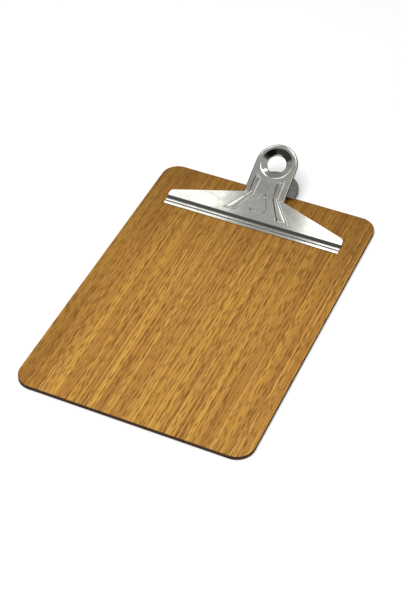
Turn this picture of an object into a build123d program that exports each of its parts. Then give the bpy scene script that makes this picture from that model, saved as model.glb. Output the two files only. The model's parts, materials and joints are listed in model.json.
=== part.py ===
"""A5 clipboard: beech-effect hardboard with a sprung lever clip.

Millimetres.  X runs across the board, +Y towards the clip, +Z up from the board.
The origin is the centre of the board's underside.  Each function builds one sub-part,
in the place it has in the finished clipboard with the jaw closed.
"""
import os
from math import cos, radians, sin, tan

from build123d import *

# ---------------------------------------------------------------- driving dimensions
BOARD_WIDTH = 160.0
BOARD_LENGTH = 234.0
BOARD_THICK = 3.2
BOARD_CORNER_R = 12.0
FOIL_THICK = 0.2

SHEET = 0.8                     # pressed steel of both halves of the clip
JAW_WIDTH = 130.0
JAW_NOSE_Y = 74.5               # front edge of the lip
JAW_GAP = 0.05                  # lip above the empty board
CREASE_Y, CREASE_Z = 82.2, 5.3  # where the wings fold down into the lip
BEND_Y, BEND_Z = 100.0, 12.1    # where the neck rises from the wings
NECK_TILT = 28.0                # degrees from the board
BEND_OVERLAP = 0.6              # how far each slope runs on into the other at the bend

HEAD_UP_NECK = 26.4             # bend to the centre of the round head
HEAD_R = 15.0
RIM_DEPTH = 2.6                 # turned-down rim of neck and head
RIM_ROUND = 1.2
DISH_R = 11.3
DISH_DEPTH = 1.5
HANG_HOLE_R = 6.8

RIB_HEIGHT = 0.9
RIB_TAPER = 30.0
MARK_HEIGHT = 0.35

PIVOT_Y, PIVOT_Z = 101.5, 7.8
PIN_R = 1.5
PIN_RUNNING_CLEARANCE = 0.05
PIN_HEAD_R = 2.3
PIN_HEAD_THICK = 0.7
LUG_R = 2.9                     # round lugs of the lever
EAR_R = 3.0                     # round ears of the base plate
EAR_GAP = 0.4                   # between ear and lug
END_PLAY = 0.15                 # between lug and pin head

PAD_HALF_WIDTH = 11.0
PAD_FRONT_Y = 84.5
TAIL_FRONT_Y = 114.3
TAIL_CENTRE_Y = 121.3
TAIL_R = 17.3
TAIL_TOP_Z = 5.0
TAIL_RIM_Z = 3.3                # lower edge of the tail's rim
TAIL_HOLE_R = 5.5
TAIL_HOLE_Y = 123.3

WIRE_R = 0.7
JOIN_R = 0.76
COIL_R = 2.5                    # wire centre line
COIL_PITCH = 1.5
COIL_OUTER_X = 9.8
SPRING_FOOT = 8.0               # straight foot on the base plate
SPRING_ARM = 10.5               # straight arm under the neck

RIVET_PLACES = [(-6.5, 89.5), (6.5, 89.5), (0.0, 109.0)]
RIVET_SHANK_R = 1.6
RIVET_HEAD_R = 2.9
RIVET_HEAD_H = 1.0
BACK_RECESS_R = 3.9
BACK_RECESS_DEPTH = 1.1
WASHER_R = 3.7
WASHER_THICK = 0.5
CLENCH_R = 2.6
CLENCH_H = 0.45

# ---------------------------------------------------------------- values worked out
PAD_TOP = BOARD_THICK + SHEET
JAW_HALF = JAW_WIDTH / 2
WING_RUN = BEND_Y - CREASE_Y
WING_RISE = BEND_Z - CREASE_Z
WING_SPAN = (WING_RUN**2 + WING_RISE**2) ** 0.5
LUG_OUTER_X = HEAD_R
LUG_INNER_X = LUG_OUTER_X - SHEET
EAR_OUTER_X = LUG_INNER_X - EAR_GAP
EAR_INNER_X = EAR_OUTER_X - SHEET

# the two flat pressings of the lever: local x across, local y up the slope
NECK_PLANE = Plane(origin=(0, BEND_Y, BEND_Z), x_dir=(1, 0, 0),
                   z_dir=(0, -sin(radians(NECK_TILT)), cos(radians(NECK_TILT))))
WING_PLANE = Plane(origin=(0, CREASE_Y, CREASE_Z), x_dir=(1, 0, 0),
                   z_dir=(0, -WING_RISE, WING_RUN))


def slab(outline, bottom, top):
    """A sketch on XY as a plate between two heights."""
    return extrude(Pos(0, 0, bottom) * outline, top - bottom)


def cross_cut(outline, left, right):
    """A sketch drawn as (y, z), as a bar between two X positions."""
    return extrude(Plane(origin=(left, 0, 0), x_dir=(0, 1, 0), z_dir=(1, 0, 0)) * outline,
                   right - left)


def both_sides(solid):
    """A solid and its mirror image across the board's centre line."""
    return solid + mirror(solid, about=Plane.YZ)


# ---------------------------------------------------------------- the board
def board_layer(bottom, top):
    """A full-size layer of the board with the rivet holes through it."""
    plan = RectangleRounded(BOARD_WIDTH, BOARD_LENGTH, BOARD_CORNER_R)
    layer = slab(plan, bottom, top)
    for x, y in RIVET_PLACES:
        layer -= Pos(x, y, (bottom + top) / 2) * Cylinder(RIVET_SHANK_R, top - bottom)
        recess_top = BACK_RECESS_DEPTH
        if bottom < recess_top:
            layer -= Pos(x, y, recess_top / 2) * Cylinder(BACK_RECESS_R, recess_top)
    return layer


def make_back_foil():
    return board_layer(0, FOIL_THICK)


def make_board_core():
    return board_layer(FOIL_THICK, BOARD_THICK - FOIL_THICK)


def make_front_foil():
    return board_layer(BOARD_THICK - FOIL_THICK, BOARD_THICK)


# ---------------------------------------------------------------- the fixed half of the clip
def tail_plan(inset):
    """Round tail: straight sides from its front edge, then a half circle."""
    half = TAIL_R - inset
    side_length = TAIL_CENTRE_Y - TAIL_FRONT_Y
    plan = Pos(0, TAIL_CENTRE_Y) * Circle(half)
    plan += Pos(0, TAIL_FRONT_Y + side_length / 2) * Rectangle(2 * half, side_length)
    return plan - Pos(0, TAIL_FRONT_Y - TAIL_R) * Rectangle(4 * half, 2 * TAIL_R)


def make_base_plate():
    """Riveted pad with two upright ears, stepped up into the round thumb tail."""
    pad_back_y = TAIL_FRONT_Y - 1.0
    pad_length = pad_back_y - PAD_FRONT_Y
    pad_plan = Pos(0, (PAD_FRONT_Y + pad_back_y) / 2) * Rectangle(2 * PAD_HALF_WIDTH, pad_length)
    pad_plan = fillet(pad_plan.vertices().group_by(Axis.Y)[0], 4.0)
    plate = slab(pad_plan, BOARD_THICK, PAD_TOP)

    step_plan = Pos(0, pad_back_y - SHEET / 2) * Rectangle(2 * PAD_HALF_WIDTH, SHEET)
    plate += slab(step_plan, BOARD_THICK, TAIL_TOP_Z)
    root_plan = Pos(0, TAIL_FRONT_Y) * Rectangle(2 * PAD_HALF_WIDTH, 2 * (TAIL_FRONT_Y - pad_back_y))
    plate += slab(root_plan, TAIL_TOP_Z - SHEET, TAIL_TOP_Z)

    hood = slab(tail_plan(0), TAIL_RIM_Z, TAIL_TOP_Z)
    top_edge = [e for e in hood.faces().sort_by(Axis.Z)[-1].edges() if e.center().Y > TAIL_FRONT_Y + 1]
    hood = fillet(top_edge, SHEET)
    open_front = Pos(0, TAIL_FRONT_Y) * Rectangle(2 * (TAIL_R - SHEET), 2 * SHEET)
    hood -= slab(tail_plan(SHEET) + open_front, TAIL_RIM_Z, TAIL_TOP_Z - SHEET)
    plate += hood
    plate -= Pos(0, TAIL_HOLE_Y, TAIL_TOP_Z) * Cylinder(TAIL_HOLE_R, 4 * SHEET)

    tab_plan = Pos(0, PIVOT_Y) * Rectangle(2 * EAR_OUTER_X, 2 * EAR_R)
    plate += slab(tab_plan, BOARD_THICK, PAD_TOP)
    post_centre_z = (BOARD_THICK + PIVOT_Z) / 2
    ear_plan = Pos(PIVOT_Y, post_centre_z) * Rectangle(2 * EAR_R, PIVOT_Z - BOARD_THICK)
    ear_plan += Pos(PIVOT_Y, PIVOT_Z) * Circle(EAR_R)
    ear_plan -= Pos(PIVOT_Y, PIVOT_Z) * Circle(PIN_R)
    plate += both_sides(cross_cut(ear_plan, EAR_INNER_X, EAR_OUTER_X))

    for x, y in RIVET_PLACES:
        plate -= Pos(x, y, PAD_TOP) * Cylinder(RIVET_SHANK_R, 4 * SHEET)
    return plate


# ---------------------------------------------------------------- the moving half of the clip
def neck_plan(inset, front):
    """Neck with parallel sides under the round head, from 'front' up the slope."""
    half = HEAD_R - inset
    sides = Pos(0, (front + HEAD_UP_NECK) / 2) * Rectangle(2 * half, HEAD_UP_NECK - front)
    return sides + Pos(0, HEAD_UP_NECK) * Circle(half)


def make_neck():
    """Hooded neck and head with a dished hanging hole."""
    outside = slab(neck_plan(0, 0), -RIM_DEPTH, 0)
    rim_edges = [e for e in outside.faces().sort_by(Axis.Z)[-1].edges() if e.center().Y > 1]
    outside = fillet(rim_edges, RIM_ROUND)
    hollow = slab(neck_plan(SHEET, -1), -RIM_DEPTH, -SHEET)
    hood = outside - hollow

    head = Pos(0, HEAD_UP_NECK, 0)
    hood -= head * Cylinder(DISH_R, 4 * SHEET)
    wall = Polyline((DISH_R + SHEET, 0), (DISH_R, 0), (HANG_HOLE_R + SHEET, -DISH_DEPTH),
                    (HANG_HOLE_R, -DISH_DEPTH - SHEET), (HANG_HOLE_R, -DISH_DEPTH - 1.5 * SHEET),
                    (HANG_HOLE_R + SHEET, -DISH_DEPTH - SHEET), (DISH_R + SHEET, -SHEET), close=True)
    dish = revolve(Plane.XZ * make_face(wall), Axis.Z)
    return hood + head * dish


def wing_plan():
    """Right wing, from the centre line to its rounded tip, drawn up the wing's slope."""
    root = WING_SPAN + BEND_OVERLAP
    plan = make_face(Polyline((0, 0), (JAW_HALF, 0), (JAW_HALF, 4.4), (HEAD_R, WING_SPAN),
                              (HEAD_R, root), (0, root), close=True))
    corner = plan.vertices().sort_by(Axis.X)[-2:].sort_by(Axis.Y)[-1]
    return fillet(corner, 3.5)


def lip_plan():
    """Section of the lip, as (y, z): fold, step down, two beads, rounded nose."""
    foot = BOARD_THICK + JAW_GAP
    drop_y = CREASE_Y - 2.4
    fold = tan(radians(27)) * SHEET
    points = [(CREASE_Y, CREASE_Z), (drop_y, foot + SHEET), (drop_y - 0.6, foot + 1.25),
              (drop_y - 1.5, foot + 1.25), (drop_y - 2.3, foot + SHEET), (drop_y - 3.1, foot + 1.15),
              (drop_y - 4.1, foot + 1.15), (JAW_NOSE_Y, foot + 0.55), (JAW_NOSE_Y + 0.5, foot),
              (drop_y + fold, foot), (CREASE_Y + 0.55, CREASE_Z - SHEET + 0.05)]
    return make_face(Polyline(*points, close=True))


def rib_solids(raise_by):
    """The two cranked stiffening ribs, as tapered bars on the neck and on the wings."""
    inner_top, outer_top = (6.0, 12.4), (11.4, 15.6)
    inner_bend, outer_bend = 6.7, 11.4
    root = WING_SPAN + BEND_OVERLAP
    on_neck = make_face(Polyline((inner_bend, -BEND_OVERLAP), (outer_bend, -BEND_OVERLAP), outer_top,
                                 inner_top, close=True))
    on_wing = make_face(Polyline((15.8, 3.2), (24.6, 3.0), (outer_bend, root), (inner_bend, root),
                                 close=True))
    bars = []
    for plane, plan in ((NECK_PLANE, on_neck), (WING_PLANE, on_wing)):
        for face in (plan, mirror(plan, about=Plane.YZ)):
            bar = extrude(face, RIB_HEIGHT, taper=RIB_TAPER)
            bars.append(plane * (Pos(0, 0, raise_by) * bar))
    return bars


def make_plain_mark():
    """A plain raised outline of a rounded triangle between the ribs, bent with the sheet."""
    low, high, half = 6.5, 24.0, 7.0
    outer = make_face(Polyline((-half, low), (half, low), (0, high), close=True))
    outer = fillet(outer.vertices(), 2.4)
    ring = outer - offset(outer, -0.7)
    at_bend = Pos(0, -WING_SPAN) * ring
    on_wing = ring - Pos(0, WING_SPAN + high) * Rectangle(4 * half, 2 * high)
    on_neck = at_bend - Pos(0, -high) * Rectangle(4 * half, 2 * high)
    return (WING_PLANE * extrude(on_wing, MARK_HEIGHT)) + (NECK_PLANE * extrude(on_neck, MARK_HEIGHT))


def make_front_lever():
    """Jaw, wings, neck and head, pressed from one sheet, with lugs for the pin."""
    lever = NECK_PLANE * make_neck()
    wing = slab(wing_plan(), -SHEET, 0)
    lever += WING_PLANE * both_sides(wing)
    lever += cross_cut(lip_plan(), -JAW_HALF, JAW_HALF)

    flange_low = RIM_DEPTH - 0.5
    root_front = NECK_PLANE.from_local_coords((0, 0.4, -flange_low))
    root_back = NECK_PLANE.from_local_coords((0, 6.0, -flange_low))
    lug_plan = make_face(Polyline((PIVOT_Y - LUG_R, PIVOT_Z), (PIVOT_Y + LUG_R, PIVOT_Z),
                                  (root_back.Y, root_back.Z), (root_front.Y, root_front.Z), close=True))
    lug_plan += Pos(PIVOT_Y, PIVOT_Z) * Circle(LUG_R)
    lug_plan -= Pos(PIVOT_Y, PIVOT_Z) * Circle(PIN_R + PIN_RUNNING_CLEARANCE)
    lever += both_sides(cross_cut(lug_plan, LUG_INNER_X, LUG_OUTER_X))

    lever += rib_solids(0)
    lever -= rib_solids(-SHEET)
    # the crossing hollows leave crumbs at the bend, so only the pressing itself is kept
    pressing = lever.solids().sort_by(SortBy.VOLUME)[-1]
    return pressing + make_plain_mark()


# ---------------------------------------------------------------- hinge
def make_hinge_pin():
    """Plain pin with a head formed over each end."""
    shank_half = LUG_OUTER_X + END_PLAY
    across = Rotation(0, 90, 0)
    pin = Pos(0, PIVOT_Y, PIVOT_Z) * across * Cylinder(PIN_R, 2 * shank_half)
    head = across * Cylinder(PIN_HEAD_R, PIN_HEAD_THICK)
    head = fillet(head.edges().sort_by(Axis.X)[-1], 0.4)
    return pin + both_sides(Pos(shank_half + PIN_HEAD_THICK / 2, PIVOT_Y, PIVOT_Z) * head)


def make_hinge_spring():
    """Double torsion spring: two coils on the pin, a foot from each on the base plate
    and one arm that joins them under the neck."""
    neck_way = Vector(0, cos(radians(NECK_TILT)), sin(radians(NECK_TILT)))
    turned = 5 * 360 - 90 - (90 + NECK_TILT)
    coil_length = COIL_PITCH * turned / 360
    inner_x = COIL_OUTER_X - coil_length

    helix = Helix(COIL_PITCH, coil_length, COIL_R)
    start_plane = Plane(origin=helix @ 0, z_dir=helix % 0)
    coil = sweep(start_plane * Circle(WIRE_R), path=helix, is_frenet=True)
    # the helix climbs +Z from local +X; lay it along -X, starting below the pin
    lay_over = Plane(origin=(COIL_OUTER_X, PIVOT_Y, PIVOT_Z), x_dir=(0, 0, -1), z_dir=(-1, 0, 0))
    coil = lay_over * coil

    foot_start = Vector(COIL_OUTER_X, PIVOT_Y, PIVOT_Z - COIL_R)
    foot_end = foot_start + Vector(0, SPRING_FOOT, 0)
    foot_path = Line(foot_start, foot_end)
    foot = sweep(Plane(origin=foot_start, z_dir=foot_path % 0) * Circle(WIRE_R), path=foot_path)

    lift = Vector(0, -sin(radians(NECK_TILT)), cos(radians(NECK_TILT))) * COIL_R
    arm_start = Vector(inner_x, PIVOT_Y, PIVOT_Z) + lift
    arm_corner = arm_start + neck_way * SPRING_ARM
    over = Vector(-2 * inner_x, 0, 0)
    arm_path = FilletPolyline(arm_start, arm_corner, arm_corner + over, arm_start + over, radius=1.6)
    arm = sweep(Plane(origin=arm_start, z_dir=arm_path % 0) * Circle(WIRE_R), path=arm_path)
    # the coil leans a little, so a ball just larger than the wire closes each join
    foot_join = Pos(*foot_start) * Sphere(JOIN_R)
    arm_join = Pos(*arm_start) * Sphere(JOIN_R)
    half = coil + foot_join + foot + arm_join
    return both_sides(half) + arm


# ---------------------------------------------------------------- rivets
def make_rivet(x, y):
    """Round head on the base plate, shank through the board, rolled end in the recess."""
    head = Cylinder(RIVET_HEAD_R, RIVET_HEAD_H)
    head = fillet(head.edges().sort_by(Axis.Z)[-1], 0.8)
    rivet = Pos(x, y, PAD_TOP + RIVET_HEAD_H / 2) * head
    clench_top = BACK_RECESS_DEPTH - WASHER_THICK
    rivet += Pos(x, y, (PAD_TOP + clench_top) / 2) * Cylinder(RIVET_SHANK_R, PAD_TOP - clench_top)
    clench = Cylinder(CLENCH_R, CLENCH_H)
    clench = fillet(clench.edges().sort_by(Axis.Z)[0], 0.3)
    return rivet + Pos(x, y, clench_top - CLENCH_H / 2) * clench


def make_rivets():
    return [make_rivet(x, y) for x, y in RIVET_PLACES]


def make_rivet_washers():
    washers = []
    for x, y in RIVET_PLACES:
        ring = Cylinder(WASHER_R, WASHER_THICK) - Cylinder(RIVET_SHANK_R, WASHER_THICK)
        washers.append(Pos(x, y, BACK_RECESS_DEPTH - WASHER_THICK / 2) * ring)
    return washers


# ---------------------------------------------------------------- write the sub-parts
def write(name, shape):
    solids = shape if isinstance(shape, list) else [shape]
    group = Compound(children=[s for item in solids for s in item.solids()])
    export_step(group, f"parts/{name}.step")
    print(f"{name}: {len(group.solids())} solid(s), {group.volume:.1f} mm3")


os.makedirs("parts", exist_ok=True)
write("back_foil", make_back_foil())
write("board_core", make_board_core())
write("front_foil", make_front_foil())
write("base_plate", make_base_plate())
write("front_lever", make_front_lever())
write("hinge_pin", make_hinge_pin())
write("hinge_spring", make_hinge_spring())
write("rivets", make_rivets())
write("rivet_washers", make_rivet_washers())
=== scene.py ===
# %% [markdown]
# # A small clipboard with a wide sprung clip
# The object is a hardboard sheet with a printed beech face, and a clip pressed from two pieces of
# plated sheet steel. The CAD model gives every size and place; here each visible piece gets the
# softness, edges and finish of the real one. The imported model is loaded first, because all pieces
# sit in its frame: +X across the board, +Y towards the clip, +Z up out of the face, in metres.

# %% Load the frame
import json
from math import atan2, cos, degrees, pi, radians, sin

import bmesh
import bpy
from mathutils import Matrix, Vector


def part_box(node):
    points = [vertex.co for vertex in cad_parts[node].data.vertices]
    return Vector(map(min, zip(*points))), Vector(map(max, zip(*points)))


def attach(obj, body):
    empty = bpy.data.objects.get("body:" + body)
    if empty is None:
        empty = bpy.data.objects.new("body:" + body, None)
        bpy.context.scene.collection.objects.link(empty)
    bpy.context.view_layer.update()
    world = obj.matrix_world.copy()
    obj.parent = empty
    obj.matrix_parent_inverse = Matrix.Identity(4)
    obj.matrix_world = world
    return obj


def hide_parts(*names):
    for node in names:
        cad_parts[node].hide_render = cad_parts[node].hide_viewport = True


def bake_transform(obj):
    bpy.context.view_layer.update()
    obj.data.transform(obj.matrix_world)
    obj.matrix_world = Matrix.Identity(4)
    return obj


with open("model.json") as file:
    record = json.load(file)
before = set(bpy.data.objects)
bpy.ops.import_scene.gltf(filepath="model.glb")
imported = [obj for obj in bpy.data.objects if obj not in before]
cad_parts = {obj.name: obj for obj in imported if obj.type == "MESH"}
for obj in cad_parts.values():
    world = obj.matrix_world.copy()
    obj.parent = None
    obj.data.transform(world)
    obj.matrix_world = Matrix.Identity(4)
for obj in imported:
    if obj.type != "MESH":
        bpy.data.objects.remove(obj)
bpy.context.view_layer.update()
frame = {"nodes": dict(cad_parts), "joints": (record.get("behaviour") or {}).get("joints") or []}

MM = 0.001
WELD = 0.002 * MM

# %% [markdown]
# ## Small helpers
# The operators in edit mode act on what is selected, so each step selects in code, by place or by
# normal, in place of a click. `choose` selects the vertices that pass a test, and edges or faces
# between them follow. `turn` rotates what is selected about a line along X: with no window the
# rotate operator turns the other way round, so the angle is given with its sign changed.

# %% Helpers for edit mode
def mode(name):
    if bpy.context.object and bpy.context.object.mode != name:
        bpy.ops.object.mode_set(mode=name)


def only(*objects):
    """Select just these objects; the last one is active."""
    mode("OBJECT")
    bpy.ops.object.select_all(action="DESELECT")
    for obj in objects:
        obj.select_set(True)
    bpy.context.view_layer.objects.active = objects[-1]


def edit(obj, kind="VERT"):
    only(obj)
    mode("EDIT")
    bpy.ops.mesh.select_mode(type=kind)
    bpy.ops.mesh.select_all(action="DESELECT")


def choose(test, kind="VERT"):
    """Select vertices, edges or faces of the mesh in edit mode; test gets each one."""
    bpy.ops.mesh.select_mode(type=kind)
    mesh = bpy.context.object.data
    cage = bmesh.from_edit_mesh(mesh)
    for part in (cage.faces, cage.edges, cage.verts):
        for item in part:
            item.select = False
    group = {"VERT": cage.verts, "EDGE": cage.edges, "FACE": cage.faces}[kind]
    count = 0
    for item in group:
        if test(item):
            item.select_set(True)
            count += 1
    cage.select_flush_mode()
    bmesh.update_edit_mesh(mesh)
    return count


def turn(angle, centre):
    bpy.ops.transform.rotate(value=-angle, orient_axis="X", orient_type="GLOBAL",
                             center_override=centre)


def pull(way):
    """Extrude what is selected along a vector."""
    bpy.ops.mesh.extrude_region_move(TRANSFORM_OT_translate={"value": way})


def middle(edge):
    return (edge.verts[0].co + edge.verts[1].co) / 2


def apply_modifier(obj, kind, **settings):
    only(obj)
    modifier = obj.modifiers.new(kind.title(), kind)
    for name, value in settings.items():
        setattr(modifier, name, value)
    bpy.ops.object.modifier_apply(modifier=modifier.name)


def empty_mesh(name):
    """A new object without any points, in edit mode."""
    bpy.ops.mesh.primitive_plane_add(size=MM)
    obj = bpy.context.object
    obj.name = name
    edit(obj)
    bpy.ops.mesh.select_all(action="SELECT")
    bpy.ops.mesh.delete(type="VERT")
    return obj


def tidy(obj):
    """Weld points that coincide and turn every face outwards."""
    edit(obj)
    bpy.ops.mesh.select_all(action="SELECT")
    bpy.ops.mesh.remove_doubles(threshold=WELD)
    bpy.ops.mesh.normals_make_consistent(inside=False)
    mode("OBJECT")


def report(obj):
    low = [min(v.co[i] for v in obj.data.vertices) / MM for i in range(3)]
    high = [max(v.co[i] for v in obj.data.vertices) / MM for i in range(3)]
    cage = bmesh.new()
    cage.from_mesh(obj.data)
    open_edges = sum(not e.is_manifold for e in cage.edges)
    cage.free()
    print(obj.name, "faces", len(obj.data.polygons), "open edges", open_edges,
          "box", [round(v, 2) for v in low], [round(v, 2) for v in high])


# %% [markdown]
# ## The board
# The board is 3.2 mm hardboard cut to A5 with round corners. A thin printed sheet is glued to each
# face, and the bare cut edge between them is dark pressed fibre. Each layer starts as a square
# plane of the real size. Its four corners are rounded with a vertex bevel, it is extruded to its
# thickness, and its outer edge is eased a little, because a routed edge is never knife sharp and
# that small slope is what catches the light. Modelling three layers, rather than one block with
# painted edges, lets the thin line between face and core show from the side.

# %% Board layers
face_low, face_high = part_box("front_foil")
back_low, back_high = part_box("back_foil")
CORNER, CORNER_STEPS = 12 * MM, 20
EASE, EASE_STEPS = 0.14 * MM, 3
CORE_INSET = 0.05 * MM


def board_layer(name, bottom, top, eased_top, eased_bottom, inset=0.0):
    bpy.ops.mesh.primitive_plane_add(size=1, location=(0, 0, bottom))
    obj = bpy.context.object
    obj.name = name
    edit(obj)
    bpy.ops.mesh.select_all(action="SELECT")
    bpy.ops.transform.resize(value=(face_high.x - face_low.x - 2 * inset,
                                    face_high.y - face_low.y - 2 * inset, 1))
    bpy.ops.mesh.bevel(offset=CORNER - inset, segments=CORNER_STEPS, affect="VERTICES")
    bpy.ops.mesh.select_all(action="SELECT")
    pull((0, 0, top - bottom))
    mode("OBJECT")
    bpy.ops.object.transform_apply(location=True, rotation=True, scale=True)
    for height, amount in ((top, eased_top), (bottom, eased_bottom)):
        if amount:
            edit(obj, "EDGE")
            choose(lambda e: all(abs(v.co.z - height) < 1e-6 for v in e.verts), "EDGE")
            bpy.ops.mesh.bevel(offset=amount, segments=EASE_STEPS, affect="EDGES")
    tidy(obj)
    return obj


printed_face = board_layer("printed_face", face_low.z, face_high.z, EASE, 0)
printed_back = board_layer("printed_back", back_low.z, back_high.z, 0, EASE)
fibre_core = board_layer("fibre_core", back_high.z, face_low.z, 0, 0, inset=CORE_INSET)

# %% [markdown]
# The back has a shallow round recess at each rivet, so that the rolled rivet ends don't scratch a
# desk. A recess is easiest to cut with a Boolean: a short cylinder is taken away from the layer.

# %% Rivet recesses
RIVETS = ((-6.5 * MM, 89.5 * MM), (6.5 * MM, 89.5 * MM), (0.0, 109 * MM))
RECESS_R, RECESS_TOP = 3.9 * MM, 1.1 * MM


def cut(obj, tool, operation="DIFFERENCE"):
    apply_modifier(obj, "BOOLEAN", object=tool, operation=operation, solver="EXACT")
    bpy.data.objects.remove(tool)


def drum(radius, low, high, place, sides=64):
    bpy.ops.mesh.primitive_cylinder_add(vertices=sides, radius=radius, depth=high - low,
                                        location=(place[0], place[1], (low + high) / 2))
    return bpy.context.object


for place in RIVETS:
    for layer in (printed_back, fibre_core):
        cut(layer, drum(RECESS_R, -MM, RECESS_TOP, place))
for layer in (printed_face, printed_back, fibre_core):
    only(layer)
    bpy.ops.object.shade_smooth_by_angle(angle=radians(35))
    report(layer)

# %% [markdown]
# ## The lever
# The moving half of the clip is one sheet of plated steel, stamped flat, embossed and then folded:
# two wings that meet the paper along a beaded lip, and a neck that ends in a round head with a
# dished hole to hang it from. It could be carved from the CAD solid with bevels, but a pressed
# sheet is soft at every fold and the thickness is the same all over. So it is made as the press
# shop does: draw the flat blank as a single skin, raise the ribs, fold it, and only then give it
# its thickness. Only the right half is drawn, and a mirror makes the left.
#
# In the blank, x runs across and y runs up the sheet from the crease above the lip.

# %% Lever sizes
CREASE = Vector((0, 82.2 * MM, 5.3 * MM))
BEND = Vector((0, 100 * MM, 12.1 * MM))
WING_TILT = atan2(BEND.z - CREASE.z, BEND.y - CREASE.y)
NECK_DEGREES = 28
NECK_TILT = radians(NECK_DEGREES)
SPAN = (BEND - CREASE).length
HEAD_Y = SPAN + 26.4 * MM
HEAD_R, SHOULDER = 15 * MM, 1.2 * MM
FLAT_R = HEAD_R - SHOULDER
RIM_DEPTH = 2.6 * MM
DISH_R = 11.6 * MM
JAW_HALF = 65 * MM
SHEET = 0.8 * MM
print("wing slopes", round(degrees(WING_TILT), 1), "degrees over", round(SPAN / MM, 2), "mm")

# %% [markdown]
# The dished hole is a spin: half its section is traced point by point with extrude, then swept
# half way round the head's centre. The rim's shoulder is spun too, for the quarter round the head,
# and its end is extruded in steps down the side of the neck. `spin` turns clockwise about an axis
# that points at us, so its axis points down here.

# %% Dish, rim and neck sides
DISH = ((6.8, -2.45), (6.84, -2.15), (6.98, -1.86), (7.25, -1.62), (7.7, -1.45), (8.3, -1.22),
        (10.6, -0.3), (11.0, -0.14), (11.3, -0.04), (11.6, 0.0))
HALF_TURN_STEPS, SIDE_STEPS, FRONT_STEPS = 48, 16, 8
SHOULDER_ANGLES = range(0, 91, 18)
TINY = 0.01 * MM


def start_point(place):
    """Add one selected point to the mesh in edit mode."""
    bpy.ops.mesh.select_all(action="DESELECT")
    bpy.ops.mesh.primitive_plane_add(size=MM, location=place)
    bpy.ops.mesh.merge(type="CENTER")


def trace(points):
    """Extrude the selected point along a line of points."""
    for here, there in zip(points, points[1:]):
        pull(Vector(there) - Vector(here))


lever = empty_mesh("lever")
HEAD_CENTRE = Vector((0, HEAD_Y, 0))
dish_section = [(0, HEAD_Y - r * MM, z * MM) for r, z in DISH]
start_point(dish_section[0])
trace(dish_section)
choose(lambda v: True)
bpy.ops.mesh.spin(steps=HALF_TURN_STEPS, angle=pi, center=HEAD_CENTRE, axis=(0, 0, -1))

shoulder_section = [(FLAT_R + SHOULDER * sin(radians(a)), HEAD_Y, SHOULDER * (cos(radians(a)) - 1))
                    for a in SHOULDER_ANGLES]
shoulder_section += [(HEAD_R, HEAD_Y, -RIM_DEPTH)]
start_point(shoulder_section[0])
trace(shoulder_section)
choose(lambda v: v.co.x > FLAT_R - TINY)
bpy.ops.mesh.spin(steps=HALF_TURN_STEPS // 2, angle=pi / 2, center=HEAD_CENTRE, axis=(0, 0, -1))
for step in range(SIDE_STEPS):
    low = HEAD_Y - step * (HEAD_Y - SPAN) / SIDE_STEPS
    choose(lambda v: abs(v.co.y - low) < 1e-6 and v.co.x > FLAT_R - TINY)
    pull((0, (SPAN - HEAD_Y) / SIDE_STEPS, 0))
mode("OBJECT")
print("dish and rim", len(lever.data.polygons), "faces")

# %% [markdown]
# The flat top between dish and rim is a bridge. The half circle round the dish and the line that
# runs along the bend, up the side and round the head have the same number of edges, so the bridge
# gives clean four-sided faces. The wing is extruded from the bend line and its slanted edge is
# cut off with a bisect.

# %% Flat top and wing
TIP_Y, TIP_ROUND = 4.4 * MM, 2.6 * MM


def near(a, b):
    return abs(a - b) < TINY


edit(lever)
choose(lambda v: near(v.co.x, FLAT_R) and near(v.co.y, SPAN) and near(v.co.z, 0))
for step in range(FRONT_STEPS):
    pull((-FLAT_R / FRONT_STEPS, 0, 0))


def around_top(edge):
    """True for the edges of the two lines that the bridge joins."""
    ends = [v.co for v in edge.verts]
    if any(not near(p.z, 0) for p in ends):
        return False
    radii = [(p - HEAD_CENTRE).length for p in ends]
    on_dish = all(near(r, DISH_R) for r in radii)
    on_side = all(near(p.x, FLAT_R) and p.y < HEAD_Y + TINY for p in ends)
    on_head = all(near(r, FLAT_R) and p.y > HEAD_Y - TINY for r, p in zip(radii, ends))
    on_bend = all(near(p.y, SPAN) and p.x < FLAT_R + TINY for p in ends)
    return on_dish or on_side or on_head or on_bend


print("bridge edges", choose(around_top, "EDGE"))
bpy.ops.mesh.bridge_edge_loops()

choose(lambda v: near(v.co.x, FLAT_R) and near(v.co.y, SPAN) and near(v.co.z, 0))
pull((SHOULDER, 0, 0))
choose(lambda e: all(near(v.co.y, SPAN) and near(v.co.z, 0) for v in e.verts), "EDGE")
pull((0, -SPAN, 0))
choose(lambda e: all(near(v.co.x, HEAD_R) and near(v.co.z, 0) for v in e.verts)
       and middle(e).y < SPAN, "EDGE")
pull((JAW_HALF - HEAD_R, 0, 0))
slope = Vector((HEAD_R - JAW_HALF, SPAN - TIP_Y, 0)).normalized()
choose(lambda f: f.calc_center_median().x > HEAD_R and f.calc_center_median().y < SPAN, "FACE")
bpy.ops.mesh.bisect(plane_co=(JAW_HALF, TIP_Y, 0), plane_no=(slope.y, -slope.x, 0),
                    clear_outer=True)
choose(lambda v: near(v.co.y, SPAN) and v.co.x > FLAT_R - TINY and v.co.z > -SHOULDER - TINY)
bpy.ops.mesh.edge_face_add()
choose(lambda v: near(v.co.x, JAW_HALF) and near(v.co.y, TIP_Y))
bpy.ops.mesh.bevel(offset=TIP_ROUND, segments=6, affect="VERTICES")
mode("OBJECT")
report(lever)

# %% [markdown]
# Two cranked ribs stiffen the lever. On the real sheet they are pressed up 0.95 mm with sloping
# walls. To get walls that follow the slanting outline, the flat faces are cut along each side of
# the outline at a few small distances inwards, and then the area inside each cut is lifted a
# little more than the last.

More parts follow.
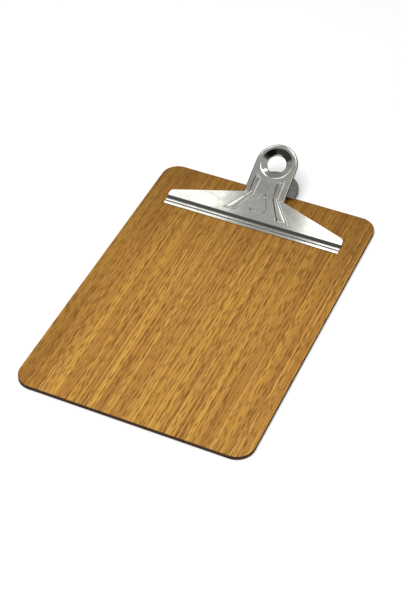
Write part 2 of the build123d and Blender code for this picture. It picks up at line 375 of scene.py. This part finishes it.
# %% Ribs
RIB_WALL = ((-0.15, 0.0), (0.0, 0.0), (0.22, 0.12), (0.55, 0.47), (0.88, 0.82), (1.08, 0.94),
            (1.22, 0.95))   # distance in from the outline, height
WING_RIB = [Vector((x * MM, y * MM, 0)) for x, y in ((15.8, 3.2), (24.6, 3.0))]
WING_RIB += [Vector((11.4 * MM, SPAN, 0)), Vector((6.7 * MM, SPAN, 0))]
NECK_RIB = [Vector((6.7 * MM, SPAN, 0)), Vector((11.4 * MM, SPAN, 0)),
            Vector((11.4 * MM, SPAN + 15.6 * MM, 0)), Vector((6.0 * MM, SPAN + 12.4 * MM, 0))]


def sides(outline, skip):
    """(point, inward direction) of each side of an outline, without the one on the bend."""
    result = []
    for i, corner in enumerate(outline):
        if i != skip:
            along = (outline[(i + 1) % 4] - corner).normalized()
            result.append((corner, Vector((-along.y, along.x, 0))))
    return result


WING_SIDES, NECK_SIDES = sides(WING_RIB, 2), sides(NECK_RIB, 0)


def depth(place, outline_sides):
    return min((place - corner).dot(inward) for corner, inward in outline_sides)


def on_wing_top(face):
    return face.calc_center_median().y < SPAN


def on_neck_top(face):
    centre = face.calc_center_median()
    return (near(centre.z, 0) and centre.y > SPAN and centre.x < FLAT_R
            and (centre - HEAD_CENTRE).length > DISH_R * 0.99)


edit(lever)
for outline_sides, area in ((WING_SIDES, on_wing_top), (NECK_SIDES, on_neck_top)):
    for corner, inward in outline_sides:
        for distance, height in RIB_WALL:
            choose(area, "FACE")
            bpy.ops.mesh.bisect(plane_co=corner + inward * distance * MM, plane_no=inward)


def in_rib(place, distance):
    flat = Vector((place.x, place.y, 0))
    on_wing = place.y < SPAN + TINY and depth(flat, WING_SIDES) > distance - TINY
    return on_wing or (place.y > SPAN - TINY and depth(flat, NECK_SIDES) > distance - TINY)


for (last, low), (distance, high) in zip(RIB_WALL, RIB_WALL[1:]):
    count = choose(lambda v: v.co.z > -TINY and in_rib(v.co, distance * MM))
    bpy.ops.transform.translate(value=(0, 0, (high - low) * MM))
    print("rib lifted to", high, "mm at", count, "points")
mode("OBJECT")
apply_modifier(lever, "MIRROR", use_clip=True, merge_threshold=0.005 * MM)
report(lever)

# %% [markdown]
# Folding comes next. A fold in sheet steel has a radius, so the seven degrees between wing and
# neck are shared out over several lines: the sheet is cut along each line, and everything beyond
# it is turned by a small angle, the furthest line first. The same folds are applied to the mark,
# so they are a function.

# %% Fold and place
FOLDS = [SPAN + step * MM for step in (-4, -3, -2, -1, 0, 1, 2, 3, 4)]


def fold(obj):
    for line in FOLDS:
        edit(obj)
        bpy.ops.mesh.select_all(action="SELECT")
        bpy.ops.mesh.bisect(plane_co=(0, line, 0), plane_no=(0, 1, 0))
    for line in reversed(FOLDS):
        choose(lambda v: v.co.y > line + TINY / 10)
        turn((NECK_TILT - WING_TILT) / len(FOLDS), (0, line, 0))
    bpy.ops.mesh.select_all(action="SELECT")
    turn(WING_TILT, (0, 0, 0))
    bpy.ops.mesh.select_all(action="SELECT")
    bpy.ops.transform.translate(value=CREASE)
    mode("OBJECT")


fold(lever)
report(lever)

# %% [markdown]
# The lip is extruded from the front edge, strip by strip, along its section: a step down, two
# beads that grip the paper, and the nose that rests on the board. The step has an extra point near
# each end, so that its flat part stays flat in the shading and mirrors one dark line.

# %% Lip
LIP = ((82.2, 5.3), (81.84, 5.075), (80.16, 4.025), (79.8, 3.80), (79.38, 4.20), (79.2, 4.29),
       (78.95, 4.28), (78.45, 4.08), (77.9, 3.98), (77.35, 4.04), (76.85, 4.22), (76.6, 4.29),
       (76.35, 4.28), (75.8, 4.07), (75.35, 3.86), (74.9, 3.74), (74.55, 3.72))
CREASES, CREASE_ROUND = (LIP[0], LIP[3]), 0.22 * MM
edit(lever)
here = CREASE
for y, z in LIP[1:]:
    there = Vector((0, y * MM, z * MM))
    choose(lambda e: all(near(v.co.y, here.y) and near(v.co.z, here.z) for v in e.verts), "EDGE")
    pull(there - here)
    here = there
for y, z in CREASES:
    choose(lambda e: all(near(v.co.y, y * MM) and near(v.co.z, z * MM) for v in e.verts), "EDGE")
    bpy.ops.mesh.bevel(offset=CREASE_ROUND, segments=3, affect="EDGES")
mode("OBJECT")
tidy(lever)
report(lever)
print("skin faces up:", sum(f.normal.z * f.area for f in lever.data.polygons) > 0)

# %% [markdown]
# Now the skin gets its thickness. Solidify grows it downwards by 0.8 mm. In the lip the beads are
# tighter than the sheet is thick, so there a vertex group gives it about half of that, as the press
# squeezes the steel thinner at a tight bead.

# %% Thickness
LIP_SHARE = 0.55
thick = lever.vertex_groups.new(name="thickness")
for vertex in lever.data.vertices:
    in_lip = vertex.co.y < CREASE.y - 0.2 * MM
    thick.add([vertex.index], LIP_SHARE if in_lip else 1.0, "REPLACE")
apply_modifier(lever, "SOLIDIFY", thickness=SHEET, offset=-1, use_even_offset=False,
               vertex_group="thickness", thickness_vertex_group=0.0)
report(lever)

# %% [markdown]
# A round lug under each side of the neck turns on the pin. Each is a cylinder; its upper half is
# spread and pushed up into the neck's side, so that it runs into it like a folded tab. A Boolean
# drills it, and another joins it to the sheet.

# %% Lugs
PIVOT = Vector(frame["joints"][0]["pos_m"])
LUG_R, BORE_R = 2.9 * MM, 1.55 * MM
UPPER, TOP = 0.6 * MM, 1.6 * MM
SPREAD, PUSH = (1, 1.35, 1), (0, 0.9 * MM, 0.5 * MM)
for side in (-1, 1):
    centre = Vector((side * (HEAD_R - SHEET / 2), PIVOT.y, PIVOT.z))
    bpy.ops.mesh.primitive_cylinder_add(vertices=64, radius=LUG_R, depth=SHEET, location=centre,
                                        rotation=(0, pi / 2, 0))
    lug = bpy.context.object
    bpy.ops.object.transform_apply(location=True, rotation=True, scale=True)
    edit(lug)
    choose(lambda v: v.co.z > PIVOT.z + UPPER)
    bpy.ops.transform.resize(value=SPREAD, center_override=centre)
    choose(lambda v: v.co.z > PIVOT.z + TOP)
    bpy.ops.transform.translate(value=PUSH)
    mode("OBJECT")
    bpy.ops.mesh.primitive_cylinder_add(vertices=64, radius=BORE_R, depth=3 * SHEET,
                                        location=centre, rotation=(0, pi / 2, 0))
    cut(lug, bpy.context.object)
    cut(lever, lug, "UNION")
report(lever)

# %% [markdown]
# Between the ribs such a clip often has its maker's ornament pressed in. A plain rounded triangle
# stands in for that here. It is a ring of wire half sunk in the sheet: a three-sided circle with
# rounded corners, turned to a curve, given a round section, and folded like the sheet.

# %% Plain mark
MARK_LOW, MARK_HIGH, MARK_HALF = 6.5 * MM, 24 * MM, 7 * MM
MARK_ROUND, MARK_WIRE_R = 4.2 * MM, 0.55 * MM
bpy.ops.mesh.primitive_circle_add(vertices=3, radius=MM)
mark = bpy.context.object
mark.name = "mark"
edit(mark)
corners = ((0, MARK_HIGH), (-MARK_HALF, MARK_LOW), (MARK_HALF, MARK_LOW))
for i, (x, y) in enumerate(corners):
    choose(lambda v: v.index == i)
    bpy.ops.transform.translate(value=Vector((x, y, 0)) - mark.data.vertices[i].co)
bpy.ops.mesh.select_all(action="SELECT")
bpy.ops.mesh.bevel(offset=MARK_ROUND, segments=10, affect="VERTICES")
bpy.ops.mesh.select_all(action="SELECT")
bpy.ops.mesh.subdivide(number_cuts=2)
only(mark)
bpy.ops.object.convert(target="CURVE")
mark.data.bevel_depth = MARK_WIRE_R
mark.data.bevel_resolution = 3
bpy.ops.object.convert(target="MESH")
tidy(mark)
report(mark)
fold(mark)
cut(lever, mark, "UNION")
report(lever)
only(lever)
bpy.ops.object.shade_smooth_by_angle(angle=radians(32))

# %% [markdown]
# ## The spring
# The spring is one length of hard wire: a coil on each side of the pin, a foot from each coil on
# the base plate, and one arm across both that pushes the neck up. When the lever is pressed the
# arm goes down with the neck and the coils wind up. Here each half is made as its own piece. A
# wire is a line of points, turned to a curve with a round section.

# %% Spring halves
WIRE_R, COIL_R, COIL_PITCH = 0.7 * MM, 2.5 * MM, 1.5 * MM
COIL_OUTER = 9.8 * MM
COIL_TURNS = (5 * 360 - 90 - (90 + NECK_DEGREES)) / 360
COIL_INNER = COIL_OUTER - COIL_TURNS * COIL_PITCH
POINTS_PER_TURN = 28
FOOT, ARM, ARM_ROUND = 8 * MM, 10.5 * MM, 1.2 * MM


def wire(points, name):
    """A round wire with closed ends along a line of points."""
    obj = empty_mesh(name)
    start_point(points[0])
    trace(points)
    only(obj)
    bpy.ops.object.convert(target="CURVE")
    obj.data.bevel_depth = WIRE_R
    obj.data.bevel_resolution = 4
    obj.data.use_fill_caps = True
    bpy.ops.object.convert(target="MESH")
    return obj


neck_way = Vector((0, cos(NECK_TILT), sin(NECK_TILT)))
lift = Vector((0, -sin(NECK_TILT), cos(NECK_TILT))) * COIL_R
halves = []
for side, name in ((1, "spring_right"), (-1, "spring_left")):
    steps = round(COIL_TURNS * POINTS_PER_TURN)
    helix = []
    for step in range(steps + 1):
        share = step / steps
        angle = radians(-90) - share * COIL_TURNS * 2 * pi
        helix.append((side * (COIL_OUTER + (COIL_INNER - COIL_OUTER) * share),
                      PIVOT.y + COIL_R * cos(angle), PIVOT.z + COIL_R * sin(angle)))
    foot = Vector((side * COIL_OUTER, PIVOT.y + FOOT, PIVOT.z - COIL_R))
    top = Vector((side * COIL_INNER, PIVOT.y, PIVOT.z)) + lift
    corner = top + neck_way * ARM
    run = [foot] + [Vector(p) for p in helix]
    run += [corner - neck_way * ARM_ROUND, corner - Vector((side * ARM_ROUND, 0, 0)),
            Vector((0, corner.y, corner.z))]
    half = wire(run, name)
    tidy(half)
    only(half)
    bpy.ops.object.shade_smooth_by_angle(angle=radians(50))
    report(half)
    halves.append(half)

# %% [markdown]
# ## Finishes
# Every finish is made of nodes. Patterns read Object coordinates, which are metres here, so the
# size of a grain or a scratch is given in millimetres and turned into a scale. One function turns
# a colour written as sRGB hex into the linear colour that the shader expects, and one adds a node
# with its settings and links.

# %% Helpers for finishes
COLOUR_A, COLOUR_B, COLOUR_OUT = 6, 7, 2    # the colour sockets of a Mix node


def colour(code):
    channels = [int(code[i:i + 2], 16) / 255 for i in (1, 3, 5)]
    linear = [c / 12.92 if c <= 0.04045 else ((c + 0.055) / 1.055) ** 2.4 for c in channels]
    return (*linear, 1.0)


def node(tree, kind, links=None, **settings):
    """Add a node. A setting is a property, or the value of an input (its name, spaces as _).
    links gives inputs (by name or number) that another node's output or a value feeds."""
    new = tree.nodes.new("ShaderNode" + kind)
    for name, value in settings.items():
        if hasattr(new, name):
            setattr(new, name, value)
        else:
            new.inputs[name.replace("_", " ")].default_value = value
    for key, output in (links or {}).items():
        if isinstance(output, bpy.types.NodeSocket):
            tree.links.new(output, new.inputs[key])
        else:
            new.inputs[key].default_value = output
    return new


def finish_of(name):
    """A new material with its node tree and shader."""
    made = bpy.data.materials.new(name)
    made.use_nodes = True
    tree = made.node_tree
    return made, tree, tree.nodes["Principled BSDF"]


def stretched(tree, x, y, z):
    """Object coordinates scaled so that one unit of pattern is x, y, z millimetres."""
    place = node(tree, "TexCoord")
    return node(tree, "Mapping", {"Vector": place.outputs["Object"]},
                Scale=(1 / (x * MM), 1 / (y * MM), 1 / (z * MM))).outputs["Vector"]


def noise(tree, vector, detail=2.0, rough=0.5, distortion=0.0):
    return node(tree, "TexNoise", {"Vector": vector}, Scale=1.0, Detail=detail, Roughness=rough,
                Distortion=distortion).outputs["Fac"]


def between(tree, factor, low, high, to_low=0.0, to_high=1.0):
    """Spread a factor between two limits."""
    return node(tree, "MapRange", {"Value": factor}, From_Min=low, From_Max=high, To_Min=to_low,
                To_Max=to_high).outputs["Result"]


def combined(tree, kind, first, second):
    """Work on two values, each a number or a node's output, with one Math node."""
    return node(tree, "Math", {0: first, 1: second}, operation=kind).outputs[0]


def blend_colour(tree, factor, first, second):
    """Mix two colours; each is a hex code or a node's output."""
    first, second = (colour(c) if isinstance(c, str) else c for c in (first, second))
    mix = node(tree, "Mix", {"Factor": factor}, data_type="RGBA")
    for socket, value in ((mix.inputs[COLOUR_A], first), (mix.inputs[COLOUR_B], second)):
        if isinstance(value, tuple):
            socket.default_value = value
        else:
            tree.links.new(value, socket)
    return mix.outputs[COLOUR_OUT]


# %% [markdown]
# ### Printed beech face
# The face is melamine-coated paper printed with beech. Beech has a plain golden ground with long
# soft bands along the board, finer streaks and pale lines, and the short dark flecks (rays) by
# which it is known, about 5 mm long. The print is a little browner along the left edge. Towards
# the clip's end the ray colour is blended in as painted shade, for the light that falls off there.
# The paper is sealed, so it has a satin sheen with no open grain, only a very slight orange peel.
# The back is the same print in a duller tone.

# %% Beech print
PALE_LINE = "#d3a54e"
# where the painted shade towards the clip's end begins, and where it is full
PAINTED_SHADE_FROM, PAINTED_SHADE_FULL = 20 * MM, 110 * MM
EDGE_FULL, EDGE_FROM = -76 * MM, -60 * MM


def fleck_cells(tree, wide, long):
    """Distance to scattered points, one in each wide x long patch; a slow noise varies it."""
    wander = noise(tree, stretched(tree, 2.5, 110, 50), detail=1)
    cells = node(tree, "TexVoronoi", {"Vector": stretched(tree, wide, long, 1)},
                 voronoi_dimensions="2D", Scale=1.0).outputs["Distance"]
    return combined(tree, "ADD", cells, between(tree, wander, 0.35, 0.65, -0.08, 0.14))


# the ray colour serves for the real flecks and also for the painted shade towards the clip's end
def beech_print(name, light, ground, dark, ray_and_painted_shade):
    made, tree, shader = finish_of(name)
    bands = noise(tree, stretched(tree, 11, 900, 50), detail=4, rough=0.6)
    streaks = noise(tree, stretched(tree, 1.6, 230, 50), detail=3, rough=0.55)
    lines = noise(tree, stretched(tree, 1.3, 300, 40), detail=2, rough=0.5)
    flecks = fleck_cells(tree, 1.5, 12.0)
    place = node(tree, "TexCoord").outputs["Object"]
    across, along = node(tree, "SeparateXYZ", {"Vector": place}).outputs[:2]
    tone = blend_colour(tree, between(tree, bands, 0.40, 0.60), ground, light)
    for part, shade in ((between(tree, streaks, 0.44, 0.62, 0.0, 0.75), dark),
                        (between(tree, lines, 0.52, 0.66, 0.0, 0.70), PALE_LINE),
                        (between(tree, flecks, 0.16, 0.34, 0.70, 0.0), ray_and_painted_shade),
                        # painted shade: the ray colour blended in towards the clip's end, where the
                        # light falls off
                        (between(tree, along, PAINTED_SHADE_FROM, PAINTED_SHADE_FULL, 0.0, 0.55), ray_and_painted_shade),
                        (between(tree, across, EDGE_FULL, EDGE_FROM, 0.30, 0.0), ray_and_painted_shade)):
        tone = blend_colour(tree, part, tone, shade)
    tree.links.new(tone, shader.inputs["Base Color"])
    peel = noise(tree, stretched(tree, 0.9, 0.9, 0.9), detail=2)
    bump = node(tree, "Bump", {"Height": peel}, Strength=0.08, Distance=0.02 * MM)
    tree.links.new(bump.outputs["Normal"], shader.inputs["Normal"])
    tree.links.new(between(tree, streaks, 0.3, 0.7, 0.46, 0.58), shader.inputs["Roughness"])
    shader.inputs["IOR"].default_value = 1.5
    shader.inputs["Specular IOR Level"].default_value = 0.25
    print(name, "has", len(tree.nodes), "nodes")
    return made


# warm, streaked and satin: the eye reads varnished wood
beech_face = beech_print("Melamine_beech_print", "#bd8c3a", "#a57232", "#8a5c24", "#67410f")
# the same grain, greyer, as on the side that isn't shown
beech_back = beech_print("Melamine_beech_print_back", "#a0763a", "#8c6430", "#785226", "#5a3c17")

# %% [markdown]
# ### Hardboard edge
# Hardboard is wet wood fibre pressed hot. Its cut edge is nearly black-brown, matt and a little
# woolly, with fine layers that run round the board.

# %% Hardboard
# a dark matt line under the bright face, which shows how thin the board is
hardboard, tree, shader = finish_of("Hardboard_pressed_fibre")
layers = noise(tree, stretched(tree, 6, 6, 0.18), detail=4, rough=0.65)
specks = noise(tree, stretched(tree, 0.5, 0.5, 0.3), detail=3, rough=0.6)
tone = blend_colour(tree, between(tree, layers, 0.35, 0.65), "#2b2119", "#4a3a2b")
tone = blend_colour(tree, between(tree, specks, 0.55, 0.75, 0.0, 0.6), tone, "#6a5440")
tree.links.new(tone, shader.inputs["Base Color"])
bump = node(tree, "Bump", {"Height": specks}, Strength=0.5, Distance=0.08 * MM)
tree.links.new(bump.outputs["Normal"], shader.inputs["Normal"])
shader.inputs["Roughness"].default_value = 0.9
shader.inputs["IOR"].default_value = 1.45
print(hardboard.name, "has", len(tree.nodes), "nodes")

# %% [markdown]
# ### Plated steel
# The clip is cold-rolled steel, nickel plated. The plating copies the sheet below it: it mirrors
# sharply, but the mirror is a little cloudy in patches, has faint waves a few millimetres long,
# and carries hair scratches along the way the sheet was drawn. The other steels are the same finish
# with other colours, roughness and patch sizes.

# %% Plated steels
def plated_steel(name, bright, cloudy, rough_low, rough_high, patch=9.0):
    made, tree, shader = finish_of(name)
    clouds = noise(tree, stretched(tree, patch, patch * 0.7, patch), detail=4, rough=0.55,
                   distortion=0.8)
    hairs = noise(tree, stretched(tree, 7, 0.16, 0.16), detail=2, rough=0.6)
    waves = noise(tree, stretched(tree, 5.5, 4.0, 5.0), detail=1, rough=0.4)
    tree.links.new(blend_colour(tree, between(tree, clouds, 0.38, 0.66), bright, cloudy),
                   shader.inputs["Base Color"])
    tree.links.new(between(tree, clouds, 0.35, 0.70, rough_low, rough_high),
                   shader.inputs["Roughness"])
    soft = node(tree, "Bump", {"Height": waves}, Strength=0.02, Distance=0.12 * MM)
    fine = node(tree, "Bump", {"Height": hairs, "Normal": soft.outputs["Normal"]}, Strength=0.012,
                Distance=0.01 * MM)
    tree.links.new(fine.outputs["Normal"], shader.inputs["Normal"])
    shader.inputs["Metallic"].default_value = 1.0
    print(name, "roughness", rough_low, "to", rough_high)
    return made


# a slightly cloudy mirror, so that the wings shine white and the folds go dark
lever_steel = plated_steel("Nickel_plated_sheet_steel", "#dad9d2", "#c8c7bf", 0.08, 0.14)
# duller than the lever, so that the tail stays behind it
base_steel = plated_steel("Nickel_plated_base_steel", "#cfcdc7", "#b9b7b1", 0.14, 0.26)
# turned steel: soft highlights on a small round head
pin_steel = plated_steel("Plated_steel_pin", "#d2d0cb", "#bdbbb5", 0.16, 0.28, patch=3.0)
# dark and oily, against the bright sheet
spring_steel = plated_steel("Oiled_spring_wire", "#8a8884", "#6f6d6a", 0.22, 0.38, patch=2.0)
# bright domes on the base plate, and dull rings in the back's recesses
rivet_steel = plated_steel("Plated_steel_rivet", "#d9d7d0", "#c4c2bb", 0.14, 0.26, patch=2.5)
washer_steel = plated_steel("Plated_steel_washer", "#cbc9c3", "#b3b1ab", 0.20, 0.32, patch=2.5)

# %% [markdown]
# ## Put it together
# Each piece rides on the CAD body that it belongs to, says which material slot of the record it
# takes its finish from, and names the CAD node that it stands for. The base plate, pin, rivets and
# washers keep their CAD shapes, which are already right, and only get their finish.

# %% Pieces, bodies and finishes
PIECES = ((printed_face, "board", "front_foil", beech_face, ("front_foil",)),
          (printed_back, "board", "back_foil", beech_back, ("back_foil",)),
          (fibre_core, "board", "hardboard", hardboard, ("board_core",)),
          (lever, "lever", "lever_steel", lever_steel, ("front_lever",)))
for obj, body, slot, finish, nodes in PIECES:
    obj.data.materials.clear()
    obj.data.materials.append(finish)
    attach(obj, body)
    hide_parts(*nodes)
for half in halves:
    half.data.materials.clear()
    half.data.materials.append(spring_steel)
    side = 1 if half.name.endswith("right") else -1
    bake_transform(half)
    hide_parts("hinge_spring")
for name, finish in (("base_plate", base_steel), ("hinge_pin", pin_steel), ("rivets", rivet_steel),
                     ("rivet_washers", washer_steel)):
    frame["nodes"][name].data.materials[0] = finish
print("pieces", [p[0].name for p in PIECES] + [h.name for h in halves])

# %% [markdown]
# ## Floor
# A plain white table. Metal doesn't mirror it: under the rim of the clip the real table lies in
# shadow, so the rim should mirror something dark there.

# %% Floor
bpy.ops.mesh.primitive_plane_add(size=8, location=(0, 0, -0.05 * MM))
floor = bpy.context.object
floor.name = "floor"
bpy.ops.object.transform_apply(location=True, rotation=True, scale=True)
paper, tree, shader = finish_of("White_table")
grain = noise(tree, stretched(tree, 3, 3, 3), detail=3)
tree.links.new(blend_colour(tree, grain, "#fafafa", "#fefefe"), shader.inputs["Base Color"])
shader.inputs["Roughness"].default_value = 0.8
floor.data.materials.append(paper)
floor.visible_glossy = False
print("floor", tuple(round(side, 2) for side in floor.dimensions), "m")

# %% [markdown]
# ## Lights
# Two wide softboxes hang side by side over the clip. Bright metal shows what surrounds it, so they
# are placed for their reflections: the wings mirror the boxes and look white, while the sheet
# between the ribs mirrors the gap between them and looks grey. A third, softer light in front
# lights the wood, and is left out of reflections.

# %% Softboxes
def softbox(name, centre, size, power):
    data = bpy.data.lights.new(name, "AREA")
    data.shape = "RECTANGLE"
    data.size, data.size_y = size
    data.energy = power
    box = bpy.data.objects.new(name, data)
    box.location = centre
    bpy.context.scene.collection.objects.link(box)
    print(name, "at", centre, "power", power)
    return box


GAP_LEFT, GAP_RIGHT, BOX_HEIGHT = -0.292, -0.180, 0.88
BOX_FRONT, BOX_DEPTH, BOX_WIDTH = 0.085, 0.45, 0.34
LEFT_GLOW, RIGHT_GLOW = 1.35, 2.3
for name, x, glow in (("softbox_left", GAP_LEFT - BOX_WIDTH / 2, LEFT_GLOW),
                      ("softbox_right", GAP_RIGHT + BOX_WIDTH / 2, RIGHT_GLOW)):
    softbox(name, (x, BOX_FRONT + BOX_DEPTH / 2, BOX_HEIGHT), (BOX_WIDTH, BOX_DEPTH),
            glow * pi * BOX_WIDTH * BOX_DEPTH)
KEY_PLACE, KEY_SIZE, KEY_POWER = (-0.05, -0.38, 1.22), (0.8, 0.8), 13.8
key = softbox("key", KEY_PLACE, KEY_SIZE, KEY_POWER)
key.rotation_euler = (-key.location).to_track_quat("-Z", "Y").to_euler()
key.visible_glossy = False

# %% [markdown]
# ## Surroundings
# The rest of the studio is painted on the world by direction. It is mid grey overhead and dimmer
# towards the far side, dark in front where the camera stands, bright low in front and on the right
# where the white walls are, dark low on the left, and dark below the table's level. The ribs, the
# beads and the dish are drawn by these steps from bright to dark.

# %% Surroundings
CAMERA_WAY = (0.27, -0.67, 0.69)
world = bpy.data.worlds.new("studio")
world.use_nodes = True
bpy.context.scene.world = world
tree = world.node_tree
direction = node(tree, "TexCoord").outputs["Generated"]
across, along, up = node(tree, "SeparateXYZ", {"Vector": direction}).outputs[:3]
facing = node(tree, "VectorMath", {0: direction, 1: CAMERA_WAY}, operation="DOT_PRODUCT")

level = between(tree, along, -0.30, -0.17, 0.05, 0.43)                  # dark front, grey overhead
for kind, part in (("MULTIPLY", between(tree, along, 0.25, 0.60, 1.0, 0.60)),      # far side
                   ("MAXIMUM", between(tree, along, -0.86, -0.76, 0.85, 0.0)),     # front wall
                   ("MAXIMUM", between(tree, across, 0.55, 0.85, 0.0, 0.9)),       # right wall
                   ("MULTIPLY", between(tree, across, -0.93, -0.78, 0.10, 1.0)),   # left, low
                   ("MULTIPLY", between(tree, up, -0.05, 0.05, 0.18, 1.0)),        # below the table
                   ("MULTIPLY", between(tree, facing.outputs["Value"], 0.93, 0.975, 1.0, 0.08))):
    level = combined(tree, kind, level, part)
tree.nodes["Background"].inputs["Color"].default_value = colour("#ffffff")
tree.links.new(level, tree.nodes["Background"].inputs["Strength"])
bpy.context.scene.view_settings.view_transform = "Standard"
print("world has", len(tree.nodes), "nodes")

# %% [markdown]
# ## Camera
# The camera looks down at the face from the front right, with a long lens, so that the board's
# sides run almost parallel.

# %% Camera
TARGET = Vector((-0.002535, -0.001011, 0))
CAMERA_PLACE, LENS = (0.28812, -0.64774, 0.69516), 90.15
camera_data = bpy.data.cameras.new("camera")
camera_data.lens = LENS
camera = bpy.data.objects.new("camera", camera_data)
camera.location = CAMERA_PLACE
camera.rotation_euler = (TARGET - camera.location).to_track_quat("-Z", "Y").to_euler()
bpy.context.scene.collection.objects.link(camera)
bpy.context.scene.camera = camera
print("camera", round((TARGET - camera.location).length, 3), "m away, lens", LENS, "mm")
